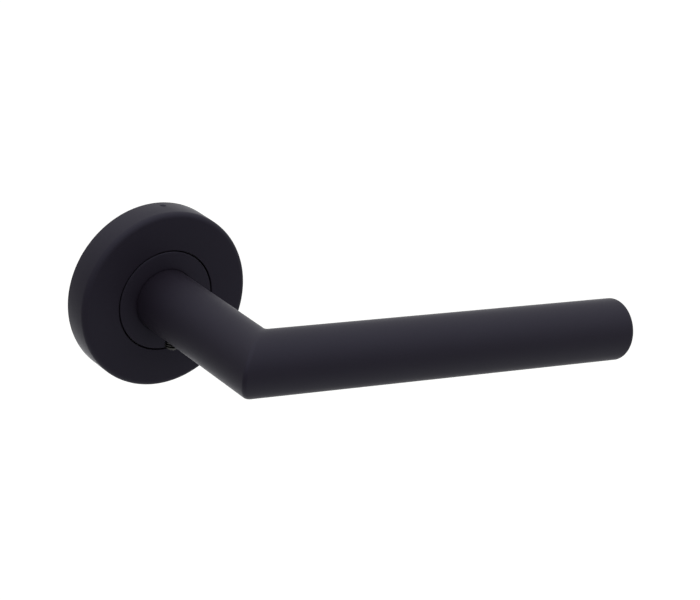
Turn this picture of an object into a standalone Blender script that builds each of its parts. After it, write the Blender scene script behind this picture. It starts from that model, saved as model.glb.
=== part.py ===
"""Lever handle on a round rose: one side of a door's lever set, built from its separate pieces.

Sizes are in metres. The door's face is the plane y = 0, +Y points into the door, and the lever turns about the
Y axis with its grip along +X at rest. Each piece is modelled in the rose's own frame, with x along the grip,
y up and z out from the door, and hangs from an empty that stands this frame upright.

Radii grow outwards from the spindle, wall by wall, and heights from the door to the rose's face, so a change to
one wall or gap carries along all that lies outside it. With the sizes below the bar is 19 mm across, the inner
disc 30.2 mm, the rose 54 mm and the fixings lie at 38 mm centres.
"""

import math

import bmesh
import bpy
from mathutils import Matrix, Vector

# Gaps between pieces
REST_GAP = 0.0003
RUN_GAP = 0.00025
DISC_GROOVE = 0.0004
NECK_GROOVE = 0.0005

# Spindle, hub and bar, from the middle outwards
SPINDLE_SIDE = 0.0080
SPINDLE_CORNERS = 0.0102
SPINDLE_INSIDE = 0.0270
SPINDLE_OUTSIDE = 0.0280
SPINDLE_END_CHAMFER = 0.0006
SOCKET_WALL = 0.0008
RING_GROOVE_DEPTH = 0.0008
KEY_STEP = 0.0002
KEY_DEPTH = 0.0005
HUB_END_WALL = 0.0067
HUB_LAND = 0.0015
BAR_WALL = 0.0015

# Lever
GRIP_PROJECTION = 0.0610
GRIP_REACH = 0.1300
MITRE_FILLET = 0.0011
TIP_RADIUS = 0.0020
TIP_FLAT = 0.0001
PLUG_LENGTH = 0.0100

# Grub screw under the neck
GRUB_DIAMETER = 0.0040
GRUB_LENGTH = 0.0100
GRUB_SPOT_DEPTH = 0.0017
GRUB_FROM_ROSE = 0.0060
GRUB_SOCKET = 0.0020
GRUB_SOCKET_DEPTH = 0.0020
GRUB_CHAMFER = 0.0004

# Bearings, spring and housing, from the hub outwards
REAR_BUSH_WALL = 0.0011
BOSS_WALL = 0.0016
SPRING_INNER_GAP = 0.00075
SPRING_WIRE = 0.0013
SPRING_OUTER_GAP = 0.00125
SPRING_PITCH = 0.00175
SPRING_LEG_BEND = 0.0013
SPRING_LEG_END = 0.0002
HOUSING_WALL = 0.0016
FRONT_BUSH_WALL = 0.00125
DISC_CHAMFER = 0.0003

# Heights from the door
ROSE_DEPTH = 0.0100
BASE_FLOOR = 0.0025
TROUGH_WEB = 0.0013
BACK_RECESS = 0.0024
BACK_RECESS_MARGIN = 0.0008
HOUSING_FACE = 0.0025
HOUSING_LIP = 0.0006
DRIVER_THICKNESS = 0.0012
WASHER_THICKNESS = 0.0004
THRUST_THICKNESS = 0.00055
RING_THICKNESS = 0.0007
RING_SIDE_GAP = 0.0001
RING_WIDTH = 0.0023

# Driver plate and its stops
LEVER_TURN = math.radians(45)
WING_HALF_ANGLE = math.radians(14)
STOP_ANGLE = math.radians(16)

# Housing ears and screws
EAR_RADIUS = 0.0035
EAR_THICKNESS = 0.0015
EAR_RELIEF = 0.0001
EAR_SCREW_DIAMETER = 0.0030
EAR_HEAD_DIAMETER = 0.0055
EAR_HEAD_HEIGHT = 0.0016
EAR_SCREW_TIP = 0.0006

# Fixing screws and the spigots they pass through
FIXING_DIAMETER = 0.0040
FIXING_HEAD_DIAMETER = 0.0072
FIXING_HEAD_HEIGHT = 0.0024
FIXING_BEHIND = 0.0110
FIXING_SIDE_GAP = 0.0006
RECESS_TURN = math.radians(22)
SPIGOT_WALL = 0.0017
SPIGOT_LENGTH = 0.0080

# Rim, ring seal and cover
RIM_WIDTH = 0.0023
RIM_HEIGHT = 0.0017
SEAL_DIAMETER = 0.0010
SEAL_HEIGHT = 0.0010
SEAL_GAP = 0.00025
COVER_WALL = 0.0012
ROSE_EDGE_RADIUS = 0.0017
INNER_CORNER_LEAST = 0.0002
DIMPLE_HEIGHT = 0.0031
DIMPLE_RADIUS = 0.0007
DIMPLE_DEPTH = 0.0006

# Facets
ROUND_STEPS = 40
SMALL_STEPS = 20
CORNER_STEPS = 4
MITRE_STEPS = 5
COIL_STEPS = 24
SMOOTH_ANGLE = math.radians(32)
MERGE = 1e-6
CUT = 0.002

# Radii worked out from the middle
spindle_chamfer = max(SPINDLE_SIDE - SPINDLE_CORNERS / math.sqrt(2), SPINDLE_END_CHAMFER)
socket_side = SPINDLE_SIDE + 2 * REST_GAP
ring_groove_radius = SPINDLE_CORNERS / 2 + REST_GAP + SOCKET_WALL
journal_radius = ring_groove_radius + RING_GROOVE_DEPTH
key_flat = journal_radius + KEY_STEP
hub_radius = key_flat + KEY_DEPTH
bore_radius = hub_radius + REST_GAP
bar_radius = bore_radius + BAR_WALL
rear_bush_inner = journal_radius + RUN_GAP
rear_bush_outer = rear_bush_inner + REAR_BUSH_WALL
rear_bore_radius = rear_bush_outer + RUN_GAP
boss_radius = rear_bore_radius + BOSS_WALL
coil_radius = boss_radius + SPRING_INNER_GAP + SPRING_WIRE / 2
cup_radius = coil_radius + SPRING_WIRE / 2 + SPRING_OUTER_GAP
disc_radius = cup_radius + HOUSING_WALL
lip_radius = bar_radius + NECK_GROOVE
front_bush_inner = bar_radius + RUN_GAP
front_bush_outer = front_bush_inner + FRONT_BUSH_WALL
counterbore_radius = front_bush_outer + RUN_GAP
ear_offset = disc_radius + REST_GAP + EAR_HEAD_DIAMETER / 2
fixing_offset = disc_radius + REST_GAP + FIXING_HEAD_DIAMETER / 2
rim_inner = max(
    fixing_offset + FIXING_HEAD_DIAMETER / 2 + FIXING_SIDE_GAP,
    ear_offset + EAR_RADIUS + FIXING_SIDE_GAP,
)
rim_outer = rim_inner + RIM_WIDTH
cover_inner = rim_outer + REST_GAP
rose_radius = cover_inner + COVER_WALL
seal_groove_radius = cover_inner - SEAL_DIAMETER - 2 * SEAL_GAP
back_recess_radius = rear_bore_radius + BACK_RECESS_MARGIN

# Heights worked out from the door and from the rose's face
face_back = ROSE_DEPTH - HOUSING_FACE
driver_top = face_back - REST_GAP
driver_bottom = driver_top - DRIVER_THICKNESS
spring_top = driver_bottom - REST_GAP - SPRING_WIRE / 2
spring_bottom = TROUGH_WEB + REST_GAP + SPRING_WIRE / 2
spring_turns = (spring_top - spring_bottom) / SPRING_PITCH
washer_top = driver_bottom - RUN_GAP
washer_bottom = washer_top - WASHER_THICKNESS
boss_top = washer_bottom - RUN_GAP
thrust_top = BACK_RECESS - REST_GAP
thrust_bottom = thrust_top - THRUST_THICKNESS
ring_top = thrust_bottom - REST_GAP
ring_bottom = ring_top - RING_THICKNESS
hub_bottom = ring_bottom - RING_SIDE_GAP - HUB_LAND
hub_top = SPINDLE_INSIDE + REST_GAP + HUB_END_WALL
housing_foot = BASE_FLOOR + REST_GAP
ear_top = housing_foot + EAR_THICKNESS
rim_top = BASE_FLOOR + RIM_HEIGHT
grub_height = ROSE_DEPTH + GRUB_FROM_ROSE
grub_start = SPINDLE_SIDE / 2 - GRUB_SPOT_DEPTH + REST_GAP

# Angles of the driver's wing at rest and of the spring's two legs, seen from outside
wing_angle = math.pi + LEVER_TURN / 2
leg_lead = math.atan2(SPRING_LEG_BEND, coil_radius)
coil_end_angle = wing_angle + leg_lead
coil_start_angle = coil_end_angle + 2 * math.pi * spring_turns
leg_radius = math.hypot(coil_radius, SPRING_LEG_BEND)
leg_hole_radius = SPRING_WIRE / 2 + REST_GAP
wing_radius = cup_radius - REST_GAP

# Colour, metallic value and roughness of each finish
BLACK_COAT = ((0.014, 0.014, 0.017), 0.0, 0.5)
BARE_STEEL = ((0.55, 0.55, 0.56), 1.0, 0.35)
ZINC_PLATE = ((0.60, 0.61, 0.63), 1.0, 0.30)
ZINC_CASTING = ((0.38, 0.39, 0.41), 1.0, 0.50)
SPRING_STEEL = ((0.30, 0.30, 0.31), 1.0, 0.35)
ACETAL = ((0.020, 0.020, 0.021), 0.0, 0.45)
BLACK_RUBBER = ((0.02, 0.02, 0.02), 0.0, 0.75)


def remove_objects():
    for obj in list(bpy.data.objects):
        bpy.data.objects.remove(obj)


def new_collection(name):
    collection = bpy.data.collections.new(name)
    bpy.context.scene.collection.children.link(collection)
    return collection


def new_empty(name, parent=None):
    empty = bpy.data.objects.new(name, None)
    parts.objects.link(empty)
    empty.parent = parent
    return empty


def evaluated_mesh(obj):
    """The mesh that a helper object makes, with its doubles merged. The helper is then removed."""
    bpy.context.scene.collection.objects.link(obj)
    bpy.context.view_layer.update()
    graph = bpy.context.evaluated_depsgraph_get()
    mesh = bpy.data.meshes.new_from_object(obj.evaluated_get(graph))
    bpy.data.objects.remove(obj)
    shape = bmesh.new()
    shape.from_mesh(mesh)
    bmesh.ops.remove_doubles(shape, verts=shape.verts, dist=MERGE)
    bmesh.ops.recalc_face_normals(shape, faces=shape.faces)
    shape.to_mesh(mesh)
    shape.free()
    return mesh


def turned(profile, steps=ROUND_STEPS):
    """A solid turned about z from (radius, height) points that run down its outer side. A profile that starts
    and ends on the axis stays open there, and any other is closed into a loop."""
    count = len(profile)
    on_axis = profile[0][0] == 0 and profile[-1][0] == 0
    edges = [(i, (i + 1) % count) for i in range(count - on_axis)]
    mesh = bpy.data.meshes.new("profile")
    mesh.from_pydata([(radius, 0, height) for radius, height in profile], edges, [])
    obj = bpy.data.objects.new("profile", mesh)
    screw = obj.modifiers.new("turn", "SCREW")
    screw.steps = steps
    screw.render_steps = steps
    screw.use_merge_vertices = True
    screw.merge_threshold = MERGE
    return evaluated_mesh(obj)


def plate(outlines, bottom, top):
    """A flat piece cut from sheet: the first outline is its edge, and the others are holes."""
    curve = bpy.data.curves.new("outline", "CURVE")
    curve.dimensions = "2D"
    curve.fill_mode = "BOTH"
    curve.extrude = (top - bottom) / 2
    for outline in outlines:
        spline = curve.splines.new("POLY")
        spline.points.add(len(outline) - 1)
        spline.use_cyclic_u = True
        for point, (x, y) in zip(spline.points, outline):
            point.co = (x, y, 0, 1)
    mesh = evaluated_mesh(bpy.data.objects.new("outline", curve))
    mesh.transform(Matrix.Translation((0, 0, (top + bottom) / 2)))
    return mesh


def block(low, high):
    size = Vector(high) - Vector(low)
    shape = bmesh.new()
    bmesh.ops.create_cube(shape, size=1)
    bmesh.ops.scale(shape, vec=size, verts=shape.verts)
    bmesh.ops.translate(shape, vec=(Vector(low) + Vector(high)) / 2, verts=shape.verts)
    mesh = bpy.data.meshes.new("block")
    shape.to_mesh(mesh)
    shape.free()
    return mesh


def rod(bottom_radius, top_radius, bottom, top, sides=SMALL_STEPS):
    """A cylinder or a cone along z."""
    shape = bmesh.new()
    bmesh.ops.create_cone(
        shape, cap_ends=True, segments=sides, radius1=bottom_radius, radius2=top_radius, depth=top - bottom
    )
    bmesh.ops.translate(shape, vec=(0, 0, (top + bottom) / 2), verts=shape.verts)
    mesh = bpy.data.meshes.new("rod")
    shape.to_mesh(mesh)
    shape.free()
    return mesh


def arc(radius, start, end, steps, centre=(0, 0)):
    """Points along an arc, both ends included."""
    angles = [start + (end - start) * i / steps for i in range(steps + 1)]
    return [(centre[0] + radius * math.cos(a), centre[1] + radius * math.sin(a)) for a in angles]


def circle(radius, centre=(0, 0), steps=ROUND_STEPS):
    return arc(radius, 0, 2 * math.pi, steps, centre)[:-1]


def sector(inner, outer, start, end):
    steps = max(2, round(ROUND_STEPS * (end - start) / (2 * math.pi)))
    return arc(outer, start, end, steps) + arc(inner, end, start, steps)


def chamfered_square(side, chamfer):
    half = side / 2
    near = half - chamfer
    corner = [(half, -near), (half, near), (near, half)]
    turns = [(1, 0), (0, 1), (-1, 0), (0, -1)]
    return [(x * c - y * s, x * s + y * c) for c, s in turns for x, y in corner[1:]]


def double_d(radius, flat):
    """A circle with two flats, above and below the middle."""
    reach = math.asin(flat / radius)
    steps = ROUND_STEPS // 2
    return arc(radius, -reach, reach, steps) + arc(radius, math.pi - reach, math.pi + reach, steps)


def cross(width, length):
    """Outline of a cross recess."""
    half = width / 2
    end = length / 2
    arm = [(half, half), (end, half), (end, -half)]
    turns = [(1, 0), (0, -1), (-1, 0), (0, 1)]
    return [(x * c - y * s, x * s + y * c) for c, s in turns for x, y in arm]


def finish(obj, look):
    colour, metallic, roughness = look
    material = bpy.data.materials.new(obj.name + "_finish")
    material.use_nodes = True
    shader = material.node_tree.nodes["Principled BSDF"]
    shader.inputs["Base Color"].default_value = (*colour, 1)
    shader.inputs["Metallic"].default_value = metallic
    shader.inputs["Roughness"].default_value = roughness
    obj.data.materials.append(material)


def smooth(mesh):
    mesh.shade_smooth()
    mesh.set_sharp_from_angle(angle=SMOOTH_ANGLE)


def piece(name, mesh, parent, look, location=(0, 0, 0), rotation=(0, 0, 0)):
    smooth(mesh)
    obj = bpy.data.objects.new(name, mesh)
    parts.objects.link(obj)
    obj.parent = parent
    obj.location = location
    obj.rotation_euler = rotation
    finish(obj, look)
    return obj


def boolean(obj, operation, mesh, location=(0, 0, 0), rotation=(0, 0, 0)):
    """Cuts a shape from a piece, or joins it on. The shape stays in the cutters' collection."""
    smooth(mesh)
    tool = bpy.data.objects.new(obj.name + "_tool", mesh)
    cutters.objects.link(tool)
    tool.parent = obj.parent
    tool.location = location
    tool.rotation_euler = rotation
    tool.hide_render = True
    tool.display_type = "WIRE"
    modifier = obj.modifiers.new("tool", "BOOLEAN")
    modifier.operation = operation
    modifier.object = tool


def cut(obj, mesh, location=(0, 0, 0), rotation=(0, 0, 0)):
    boolean(obj, "DIFFERENCE", mesh, location, rotation)


def join(obj, mesh, location=(0, 0, 0), rotation=(0, 0, 0)):
    boolean(obj, "UNION", mesh, location, rotation)


def turned_ring(name, inner, outer, bottom, top, parent, look):
    return piece(name, turned([(inner, top), (outer, top), (outer, bottom), (inner, bottom)]), parent, look)


def make_rose_cover():
    """Pressed cup over the base plate, with an inward dimple at 12 and at 6 o'clock that runs in a slot."""
    edge = arc(
        ROSE_EDGE_RADIUS,
        math.pi / 2,
        0,
        CORNER_STEPS,
        (rose_radius - ROSE_EDGE_RADIUS, ROSE_DEPTH - ROSE_EDGE_RADIUS),
    )
    inner_corner = max(ROSE_EDGE_RADIUS - COVER_WALL, INNER_CORNER_LEAST)
    inside = arc(
        inner_corner,
        0,
        math.pi / 2,
        CORNER_STEPS // 2,
        (cover_inner - inner_corner, ROSE_DEPTH - COVER_WALL - inner_corner),
    )
    hole = disc_radius + DISC_GROOVE
    profile = [(hole, ROSE_DEPTH), *edge, (rose_radius, 0), (cover_inner, 0), *inside]
    profile.append((hole, ROSE_DEPTH - COVER_WALL))
    obj = piece("rose_cover", turned(profile), cover_axis, BLACK_COAT)
    for side in (1, -1):
        outward = (-side * math.pi / 2, 0, 0)
        place = (0, 0, DIMPLE_HEIGHT)
        middle = rose_radius - COVER_WALL / 2
        join(obj, rod(DIMPLE_RADIUS / 2, DIMPLE_RADIUS, cover_inner - DIMPLE_DEPTH, middle), place, outward)
        dent_bottom = rose_radius - DIMPLE_DEPTH
        dent = rod(DIMPLE_RADIUS / 2, DIMPLE_RADIUS * 1.5, dent_bottom, rose_radius + DIMPLE_DEPTH)
        cut(obj, dent, place, outward)


def make_cover_seal():
    """Rubber ring that grips the cover on the base plate's rim."""
    centre = (seal_groove_radius + SEAL_GAP + SEAL_DIAMETER / 2, SEAL_HEIGHT)
    section = circle(SEAL_DIAMETER / 2, centre, 2 * CORNER_STEPS)
    piece("cover_o_ring", turned(section[::-1]), base_frame, BLACK_RUBBER)


def make_base_plate():
    """Die-cast plate on the door: rim, spring trough, bearing boss, back recess and two fixing spigots."""
    seal_half = SEAL_DIAMETER / 2 + SEAL_GAP
    profile = [
        (rim_inner, rim_top),
        (rim_outer, rim_top),
        (rim_outer, SEAL_HEIGHT + seal_half),
        (seal_groove_radius, SEAL_HEIGHT + seal_half),
        (seal_groove_radius, SEAL_HEIGHT - seal_half),
        (rim_outer, SEAL_HEIGHT - seal_half),
        (rim_outer, 0),
        (back_recess_radius, 0),
        (back_recess_radius, BACK_RECESS),
        (rear_bore_radius, BACK_RECESS),
        (rear_bore_radius, boss_top),
        (boss_radius, boss_top),
        (boss_radius, TROUGH_WEB),
        (cup_radius, TROUGH_WEB),
        (cup_radius, BASE_FLOOR),
        (rim_inner, BASE_FLOOR),
    ]
    obj = piece("base_plate", turned(profile), base_frame, ZINC_CASTING)
    hole = FIXING_DIAMETER / 2 + REST_GAP
    spigot = hole + SPIGOT_WALL
    slot_half = DIMPLE_RADIUS + REST_GAP
    slot_floor = DIMPLE_HEIGHT - slot_half
    slot_inner = cover_inner - DIMPLE_DEPTH - REST_GAP
    for side in (1, -1):
        place = (0, side * fixing_offset, 0)
        join(obj, rod(spigot, spigot, -SPIGOT_LENGTH, BASE_FLOOR / 2), place)
        cut(obj, rod(hole, hole, -SPIGOT_LENGTH - CUT, BASE_FLOOR + CUT), place)
        near, far = sorted((side * slot_inner, side * (rim_outer + CUT)))
        cut(obj, block((-slot_half, near, slot_floor), (slot_half, far, rim_top + CUT)))
        thread = EAR_SCREW_DIAMETER / 2 + REST_GAP
        cut(obj, rod(thread, thread, -CUT, BASE_FLOOR + CUT), (side * ear_offset, 0, 0))
    leg_angle = coil_start_angle + leg_lead
    leg = (leg_radius * math.cos(leg_angle), leg_radius * math.sin(leg_angle), 0)
    cut(obj, rod(leg_hole_radius, leg_hole_radius, -CUT, TROUGH_WEB + CUT), leg)


def make_spring_housing():
    """Inverted cup over the spring. Its face is the flush inner disc, and two lugs inside stop the driver."""
    lip_back = ROSE_DEPTH - HOUSING_LIP
    profile = [
        (lip_radius, ROSE_DEPTH),
        (disc_radius - DISC_CHAMFER, ROSE_DEPTH),
        (disc_radius, ROSE_DEPTH - DISC_CHAMFER),
        (disc_radius, housing_foot),
        (cup_radius, housing_foot),
        (cup_radius, face_back),
        (counterbore_radius, face_back),
        (counterbore_radius, lip_back),
        (lip_radius, lip_back),
    ]
    obj = piece("spring_housing", turned(profile), base_frame, BLACK_COAT)
    hole = EAR_SCREW_DIAMETER / 2 + REST_GAP
    wall_middle = cup_radius + HOUSING_WALL / 2
    for turn in (0, math.pi):
        round_end = arc(EAR_RADIUS, -math.pi / 2, math.pi / 2, SMALL_STEPS // 2, (ear_offset, 0))
        edge = [(wall_middle, -EAR_RADIUS), *round_end, (wall_middle, EAR_RADIUS)]
        screw_hole = circle(hole, (ear_offset, 0), SMALL_STEPS)
        join(obj, plate([edge, screw_hole], housing_foot + EAR_RELIEF, ear_top), rotation=(0, 0, turn))
    stop_gap = REST_GAP / boss_radius
    clear = WING_HALF_ANGLE + stop_gap
    inner = counterbore_radius + REST_GAP
    for start in (wing_angle + clear, wing_angle - LEVER_TURN - clear - STOP_ANGLE):
        lug = sector(inner, wall_middle, start, start + STOP_ANGLE)
        join(obj, plate([lug], driver_bottom, face_back + HOUSING_FACE / 3))


def make_screw(name, diameter, head_diameter, head_height, seat, tip, place):
    """Pan-head screw along z, with a cross recess."""
    radius = diameter / 2
    head = head_diameter / 2
    chamfer = radius / 4
    top = seat + head_height
    profile = [
        (0, top),
        (head * 0.7, top),
        (head, top - head_height / 2),
        (head, seat),
        (radius, seat),
        (radius, tip + chamfer),
        (radius - chamfer, tip),
        (0, tip),
    ]
    obj = piece(name, turned(profile, SMALL_STEPS), base_frame, ZINC_PLATE, place)
    recess = plate([cross(radius / 2, head)], top - head_height / 2, top + CUT)
    cut(obj, recess, place, (0, 0, RECESS_TURN))


def make_housing_screws():
    for name, side in (("housing_screw_left", -1), ("housing_screw_right", 1)):
        make_screw(
            name,
            EAR_SCREW_DIAMETER,
            EAR_HEAD_DIAMETER,
            EAR_HEAD_HEIGHT,
            ear_top + REST_GAP,
            EAR_SCREW_TIP,
            (side * ear_offset, 0, 0),
        )


def make_fixing_screws():
    for name, side in (("fixing_screw_upper", 1), ("fixing_screw_lower", -1)):
        make_screw(
            name,
            FIXING_DIAMETER,
            FIXING_HEAD_DIAMETER - 2 * RUN_GAP,
            FIXING_HEAD_HEIGHT,
            BASE_FLOOR + REST_GAP,
            -FIXING_BEHIND,
            (0, side * fixing_offset, 0),
        )


def make_bearings():
    """Front and rear bushes, the slip washer under the driver and the thrust washer behind the plate."""
    bush_top = ROSE_DEPTH - HOUSING_LIP - REST_GAP
    turned_ring("neck_bush", front_bush_inner, front_bush_outer, face_back, bush_top, base_frame, ACETAL)
    turned_ring("rear_bush", rear_bush_inner, rear_bush_outer, BACK_RECESS, boss_top, base_frame, ACETAL)
    washer_outer = boss_radius - RUN_GAP
    turned_ring(
        "driver_washer", rear_bush_inner, washer_outer, washer_bottom, washer_top, base_frame, ACETAL
    )
    thrust_outer = back_recess_radius - REST_GAP
    turned_ring(
        "thrust_washer", rear_bush_inner, thrust_outer, thrust_bottom, thrust_top, base_frame, BARE_STEEL
    )


def spring_path():
    """Wire's centre line: the fixed leg, a bend, the coil winding clockwise outwards, a bend, the moving leg."""
    steps = round(COIL_STEPS * spring_turns)
    coil = []
    for i in range(steps + 1):
        angle = coil_start_angle + (coil_end_angle - coil_start_angle) * i / steps
        height = spring_bottom + (spring_top - spring_bottom) * i / steps
        coil.append(Vector((coil_radius * math.cos(angle), coil_radius * math.sin(angle), height)))

    def leg(angle, end, way, reach):
        """Bend from the coil's end to the z direction, then the straight leg."""
        ahead = Vector((math.sin(angle), -math.cos(angle), 0)) * way
        upward = Vector((0, 0, way))
        bends = [math.pi / 2 * i / CORNER_STEPS for i in range(1, CORNER_STEPS + 1)]
        points = [
            end + SPRING_LEG_BEND * (math.sin(b) * ahead + (1 - math.cos(b)) * upward) for b in bends
        ]
        return points + [Vector((points[-1].x, points[-1].y, reach))]

    fixed = leg(coil_start_angle, coil[0], -1, SPRING_LEG_END)
    moving = leg(coil_end_angle, coil[-1], 1, driver_top - SPRING_LEG_END)
    return fixed[::-1] + coil + moving


def least_self_gap(path):
    """Least clear distance between stretches of the wire that are more than half a turn apart."""
    apart = COIL_STEPS // 2
    gaps = [(path[i] - path[j]).length for i in range(len(path)) for j in range(i + apart, len(path))]
    return min(gaps) - SPRING_WIRE


def make_return_spring():
    path = spring_path()
    print("return_spring: least gap to itself %.2f mm" % (1000 * least_self_gap(path)))
    curve = bpy.data.curves.new("return_spring", "CURVE")
    curve.dimensions = "3D"
    curve.bevel_depth = SPRING_WIRE / 2
    curve.bevel_resolution = 1
    curve.use_fill_caps = True
    spline = curve.splines.new("POLY")
    spline.points.add(len(path) - 1)
    for point, place in zip(spline.points, path):
        point.co = (*place, 1)
    piece("return_spring", evaluated_mesh(bpy.data.objects.new("wire", curve)), base_frame, SPRING_STEEL)


def make_spring_driver():
    """Plate keyed to the hub, with a wing that takes the spring's moving leg and runs between the stops."""
    wing_start = wing_angle - WING_HALF_ANGLE
    wing_end = wing_angle + WING_HALF_ANGLE
    wing = arc(wing_radius, wing_start, wing_end, 2 * CORNER_STEPS)
    edge = wing + arc(boss_radius, wing_end, wing_start + 2 * math.pi, ROUND_STEPS)
    key = double_d(hub_radius + REST_GAP, key_flat + REST_GAP)
    leg_centre = (leg_radius * math.cos(wing_angle), leg_radius * math.sin(wing_angle))
    leg_hole = circle(leg_hole_radius, leg_centre, SMALL_STEPS)
    mesh = plate([edge, key, leg_hole], driver_bottom, driver_top)
    piece("spring_driver", mesh, lever_axis, ZINC_PLATE)


def make_neck_insert():
    """Hub inside the neck: spindle socket, key flats for the driver, rear journal and ring groove."""
    profile = [
        (0, hub_top),
        (hub_radius, hub_top),
        (hub_radius, driver_bottom),
        (journal_radius, driver_bottom),
        (journal_radius, ring_top + RING_SIDE_GAP),
        (ring_groove_radius, ring_top + RING_SIDE_GAP),
        (ring_groove_radius, ring_bottom - RING_SIDE_GAP),
        (journal_radius, ring_bottom - RING_SIDE_GAP),
        (journal_radius, hub_bottom),
        (0, hub_bottom),
    ]
    obj = piece("neck_insert", turned(profile), lever_axis, BARE_STEEL)
    socket = chamfered_square(socket_side, spindle_chamfer)
    cut(obj, plate([socket], hub_bottom - CUT, SPINDLE_INSIDE + REST_GAP))
    flat_end = driver_top + REST_GAP / 2
    for side in (1, -1):
        near, far = sorted((side * key_flat, side * (hub_radius + CUT)))
        cut(obj, block((-hub_radius, near, driver_bottom - CUT), (hub_radius, far, flat_end)))
    thread = GRUB_DIAMETER / 2 + REST_GAP
    downward = (math.pi / 2, 0, 0)
    cut(obj, rod(thread, thread, SPINDLE_SIDE / 4, hub_radius + CUT), (0, 0, grub_height), downward)


def make_lever_tube():
    """Neck and grip: two straight tubes that meet in a 90 degree mitre with a filleted crease. Each straight
    line of the neck's skin bends into the line of the grip's skin that it meets."""
    start = face_back
    end = GRIP_REACH - TIP_RADIUS - TIP_FLAT - REST_GAP
    bends = [math.pi / 2 * i / MITRE_STEPS for i in range(MITRE_STEPS + 1)]
    shape = bmesh.new()

    def skin(radius):
        """Rings of points from the neck's root to the grip's end."""
        rings = [[] for _ in range(len(bends) + 2)]
        for across, up in circle(radius):
            rings[0].append((across, up, start))
            for ring, bend in zip(rings[1:], bends):
                x = across + MITRE_FILLET * (1 - math.cos(bend))
                z = GRIP_PROJECTION - across - MITRE_FILLET * (1 - math.sin(bend))
                ring.append((x, up, z))
            rings[-1].append((end, up, GRIP_PROJECTION - across))
        return [[shape.verts.new(point) for point in ring] for ring in rings]

    outer = skin(bar_radius)
    inner = skin(bore_radius)
    loops = outer + inner[::-1]
    for i, ring in enumerate(loops):
        following = loops[(i + 1) % len(loops)]
        for j in range(ROUND_STEPS):
            k = (j + 1) % ROUND_STEPS
            shape.faces.new((ring[j], ring[k], following[k], following[j]))
    bmesh.ops.recalc_face_normals(shape, faces=shape.faces)
    mesh = bpy.data.meshes.new("lever_tube")
    shape.to_mesh(mesh)
    shape.free()
    obj = piece("lever_tube", mesh, lever_axis, BLACK_COAT)
    hole = GRUB_DIAMETER / 2 + REST_GAP
    downward = (math.pi / 2, 0, 0)
    cut(obj, rod(hole, hole, bore_radius - CUT, bar_radius + CUT), (0, 0, grub_height), downward)


def make_end_cap():
    """Plug in the grip's end. Its head carries the rounded edge of the tip."""
    head = TIP_RADIUS + TIP_FLAT
    edge = arc(TIP_RADIUS, math.pi / 2, 0, CORNER_STEPS, (bar_radius - TIP_RADIUS, -TIP_RADIUS))
    plug = bore_radius - REST_GAP
    profile = [(0, 0), *edge, (bar_radius, -head), (plug, -head), (plug, -head - PLUG_LENGTH)]
    profile.append((0, -head - PLUG_LENGTH))
    along_grip = (0, math.pi / 2, 0)
    piece("end_cap", turned(profile), lever_axis, BLACK_COAT, (GRIP_REACH, 0, GRIP_PROJECTION), along_grip)


def make_grub_screw():
    """Socket screw that clamps the spindle from below. Its outer end stands proud of the neck."""
    radius = GRUB_DIAMETER / 2
    near = radius - GRUB_CHAMFER
    profile = [
        (0, GRUB_LENGTH),
        (near, GRUB_LENGTH),
        (radius, GRUB_LENGTH - GRUB_CHAMFER),
        (radius, GRUB_CHAMFER),
        (near, 0),
        (0, 0),
    ]
    downward = (math.pi / 2, 0, 0)
    place = (0, -grub_start, grub_height)
    obj = piece("grub_screw", turned(profile, SMALL_STEPS), lever_axis, SPRING_STEEL, place, downward)
    across_corners = GRUB_SOCKET / math.cos(math.pi / 6)
    socket = rod(across_corners / 2, across_corners / 2, GRUB_LENGTH - GRUB_SOCKET_DEPTH, GRUB_LENGTH + CUT, 6)
    cut(obj, socket, place, downward)


def make_spindle():
    """Square bar from the hub to the latch, with broken corners and a drilled spot where the grub screw bites."""
    outline = chamfered_square(SPINDLE_SIDE, spindle_chamfer)
    obj = piece("spindle", plate([outline], -SPINDLE_OUTSIDE, SPINDLE_INSIDE), lever_axis, ZINC_PLATE)
    bevel = obj.modifiers.new("ends", "BEVEL")
    bevel.width = SPINDLE_END_CHAMFER
    bevel.segments = 1
    bevel.limit_method = "ANGLE"
    bevel.angle_limit = math.radians(60)
    radius = GRUB_DIAMETER / 2 + REST_GAP
    face = SPINDLE_SIDE / 2
    downward = (math.pi / 2, 0, 0)
    cut(obj, rod(radius, radius, face - GRUB_SPOT_DEPTH, face + CUT), (0, 0, grub_height), downward)


def make_retaining_ring():
    """Open spring ring in the hub's groove."""
    inner = ring_groove_radius + REST_GAP
    opening = math.radians(70)
    start = -math.pi / 2 + opening / 2
    outline = sector(inner, inner + RING_WIDTH, start, start + 2 * math.pi - opening)
    piece("retaining_ring", plate([outline], ring_bottom, ring_top), lever_axis, SPRING_STEEL)


remove_objects()
parts = new_collection("lever_handle")
cutters = new_collection("cutters")
cutters.hide_render = True
base_frame = new_empty("base_frame")
base_frame.rotation_euler = (math.pi / 2, 0, 0)
lever_axis = new_empty("lever_axis", base_frame)
cover_axis = new_empty("cover_axis", base_frame)
make_base_plate()
make_cover_seal()
make_spring_housing()
make_housing_screws()
make_bearings()
make_return_spring()
make_fixing_screws()
make_rose_cover()
make_spring_driver()
make_neck_insert()
make_lever_tube()
make_end_cap()
make_grub_screw()
make_spindle()
make_retaining_ring()
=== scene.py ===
"""Looks of the lever handle on a round rose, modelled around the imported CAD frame.

Lengths are in metres. Each piece is shaped in the rose's own frame, with x along the grip, y up and z out
from the door, and is then stood upright as the CAD pieces are. Sizes that a CAD node's box shows are read
from it.
"""

import math

import bmesh
import bpy
from mathutils import Matrix, Vector


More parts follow.
